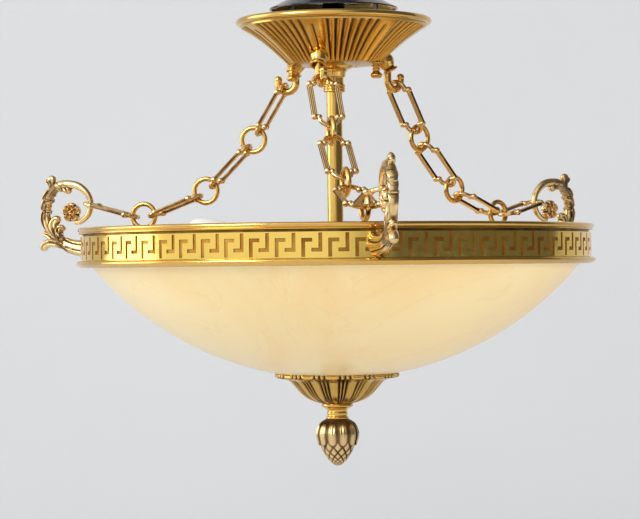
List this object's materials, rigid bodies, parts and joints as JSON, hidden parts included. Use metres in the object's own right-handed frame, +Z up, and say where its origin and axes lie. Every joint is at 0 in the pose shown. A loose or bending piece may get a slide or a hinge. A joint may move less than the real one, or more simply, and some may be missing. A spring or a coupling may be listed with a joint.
{
  "type": "glass pendant light",
  "caption": "Ceiling light with a fluted canopy, a stem, slack decorative chains on scroll arms, a key-pattern ring and a shallow glass bowl with an acorn finial.",
  "frame": {"origin": "centre of the ceiling plate's top face, midway between its two screw holes", "axes": "+Z up, into the ceiling, along the stem; the first scroll arm points to -Y; the two ceiling screws lie along X"},
  "size_m": [0.4688, 0.4787, 0.3763],
  "materials": {
    "polished_brass": "polished and lacquered cast and spun brass",
    "key_brass": "embossed brass strip with darkened recesses",
    "dark_plate": "glossy black nickel",
    "zinc_steel": "zinc-plated steel",
    "green_steel": "green earth screw",
    "alabaster_glass": "cream opal glass with a faint cloudy swirl",
    "frosted_glass": "frosted white bulb",
    "porcelain": "glazed white lampholder",
    "black_rubber": "matte gasket rubber",
    "wire_cover": "cream wire insulation",
    "felt": "brown rim felt"
  },
  "bodies": {
    "fixture": {"ceiling_plate": "dark_plate", "canopy_studs": "zinc_steel", "ground_screw": "green_steel", "nipple": "zinc_steel", "nipple_locknut": "zinc_steel", "canopy": "polished_brass", "hook_nuts": "zinc_steel", "canopy_knobs": "polished_brass", "stem_nut": "polished_brass", "stem": "polished_brass", "lead_wires": "wire_cover", "hook_1": "polished_brass", "hook_2": "polished_brass", "hook_3": "polished_brass", "scroll_arm_1": "polished_brass", "scroll_arm_2": "polished_brass", "scroll_arm_3": "polished_brass", "rosettes": "polished_brass", "arm_screws": "polished_brass", "upper_moulding": "polished_brass", "key_band": "key_brass", "lower_moulding": "polished_brass", "carrier_ring": "polished_brass", "rim_felt": "felt", "glass_bowl": "alabaster_glass", "bowl_washer": "zinc_steel", "bowl_gaskets": "black_rubber", "bottom_cap": "polished_brass", "cap_nut": "polished_brass", "rod": "zinc_steel", "rod_locknut": "zinc_steel", "cluster_body": "polished_brass", "lamp_pipes": "zinc_steel", "lampholder_1": "porcelain", "lampholder_2": "porcelain", "lampholder_3": "porcelain"},
    "collar": {"lock_collar": "polished_brass"},
    "finial_nut": {"finial": "polished_brass"},
    "bulb_1": {"bulb_base_1": "zinc_steel", "bulb_glass_1": "frosted_glass"},
    "bulb_2": {"bulb_base_2": "zinc_steel", "bulb_glass_2": "frosted_glass"},
    "bulb_3": {"bulb_base_3": "zinc_steel", "bulb_glass_3": "frosted_glass"},
    "chain_1": {"chain_rings_1": "polished_brass"},
    "link_1_1": {"link_1_1": "polished_brass"},
    "link_1_2": {"link_1_2": "polished_brass"},
    "link_1_3": {"link_1_3": "polished_brass"},
    "link_1_4": {"link_1_4": "polished_brass"},
    "chain_2": {"chain_rings_2": "polished_brass"},
    "link_2_1": {"link_2_1": "polished_brass"},
    "link_2_2": {"link_2_2": "polished_brass"},
    "link_2_3": {"link_2_3": "polished_brass"},
    "link_2_4": {"link_2_4": "polished_brass"},
    "chain_3": {"chain_rings_3": "polished_brass"},
    "link_3_1": {"link_3_1": "polished_brass"},
    "link_3_2": {"link_3_2": "polished_brass"},
    "link_3_3": {"link_3_3": "polished_brass"},
    "link_3_4": {"link_3_4": "polished_brass"}
  },
  "joints": [
    {"name": "collar_turn", "type": "hinge", "parent": "fixture", "child": "collar", "pos_m": [0, 0, -0.05825], "axis": [0, 0, 1], "continuous": true},
    {"name": "finial_turn", "type": "hinge", "parent": "fixture", "child": "finial_nut", "pos_m": [0, 0, -0.35734], "axis": [0, 0, 1], "continuous": true},
    {"name": "bulb_1_turn", "type": "hinge", "parent": "fixture", "child": "bulb_1", "pos_m": [0.01682, -0.07172, -0.2161], "axis": [0.1978, -0.8431, 0.5], "continuous": true},
    {"name": "bulb_2_turn", "type": "hinge", "parent": "fixture", "child": "bulb_2", "pos_m": [0.0537, 0.05042, -0.2161], "axis": [0.6313, 0.5928, 0.5], "continuous": true},
    {"name": "bulb_3_turn", "type": "hinge", "parent": "fixture", "child": "bulb_3", "pos_m": [-0.06839, 0.02065, -0.21255], "axis": [-0.7937, 0.2396, 0.5592], "continuous": true},
    {"name": "chain_1_swing", "type": "hinge", "parent": "fixture", "child": "chain_1", "pos_m": [-0.00879, -0.13617, -0.11359], "axis": [0.0897, -0.8711, -0.4828], "range_deg": [-18, 18]},
    {"name": "link_1_1_roll", "type": "hinge", "parent": "chain_1", "child": "link_1_1", "pos_m": [-0.01643, -0.06197, -0.08472], "axis": [0.0535, -0.5192, -0.853], "range_deg": [-6, 6]},
    {"name": "link_1_2_roll", "type": "hinge", "parent": "chain_1", "child": "link_1_2", "pos_m": [-0.01273, -0.09791, -0.1311], "axis": [0.0723, -0.7024, -0.7081], "range_deg": [-15, 15]},
    {"name": "link_1_3_roll", "type": "hinge", "parent": "chain_1", "child": "link_1_3", "pos_m": [-0.00775, -0.14626, -0.1629], "axis": [0.096, -0.9326, -0.348], "range_deg": [-15, 15]},
    {"name": "link_1_4_roll", "type": "hinge", "parent": "chain_1", "child": "link_1_4", "pos_m": [-0.00191, -0.20297, -0.16585], "axis": [0.0991, -0.9627, 0.2519], "range_deg": [-6, 6]},
    {"name": "chain_2_swing", "type": "hinge", "parent": "fixture", "child": "chain_2", "pos_m": [0.12232, 0.06048, -0.11359], "axis": [0.7095, 0.5132, -0.4828], "range_deg": [-18, 18]},
    {"name": "link_2_1_roll", "type": "hinge", "parent": "chain_2", "child": "link_2_1", "pos_m": [0.06188, 0.01675, -0.08472], "axis": [0.4229, 0.3059, -0.853], "range_deg": [-6, 6]},
    {"name": "link_2_2_roll", "type": "hinge", "parent": "chain_2", "child": "link_2_2", "pos_m": [0.09116, 0.03794, -0.1311], "axis": [0.5721, 0.4138, -0.7081], "range_deg": [-15, 15]},
    {"name": "link_2_3_roll", "type": "hinge", "parent": "chain_2", "child": "link_2_3", "pos_m": [0.13054, 0.06642, -0.1629], "axis": [0.7596, 0.5494, -0.348], "range_deg": [-15, 15]},
    {"name": "link_2_4_roll", "type": "hinge", "parent": "chain_2", "child": "link_2_4", "pos_m": [0.17673, 0.09983, -0.16585], "axis": [0.7841, 0.5672, 0.2519], "range_deg": [-6, 6]},
    {"name": "chain_3_swing", "type": "hinge", "parent": "fixture", "child": "chain_3", "pos_m": [-0.11353, 0.0757, -0.11359], "axis": [-0.7993, 0.3579, -0.4828], "range_deg": [-18, 18]},
    {"name": "link_3_1_roll", "type": "hinge", "parent": "chain_3", "child": "link_3_1", "pos_m": [-0.04545, 0.04521, -0.08472], "axis": [-0.4763, 0.2133, -0.853], "range_deg": [-6, 6]},
    {"name": "link_3_2_roll", "type": "hinge", "parent": "chain_3", "child": "link_3_2", "pos_m": [-0.07843, 0.05998, -0.1311], "axis": [-0.6445, 0.2886, -0.7081], "range_deg": [-15, 15]},
    {"name": "link_3_3_roll", "type": "hinge", "parent": "chain_3", "child": "link_3_3", "pos_m": [-0.12279, 0.07984, -0.1629], "axis": [-0.8556, 0.3831, -0.348], "range_deg": [-15, 15]},
    {"name": "link_3_4_roll", "type": "hinge", "parent": "chain_3", "child": "link_3_4", "pos_m": [-0.17482, 0.10314, -0.16585], "axis": [-0.8832, 0.3955, 0.2519], "range_deg": [-6, 6]}
  ]
}
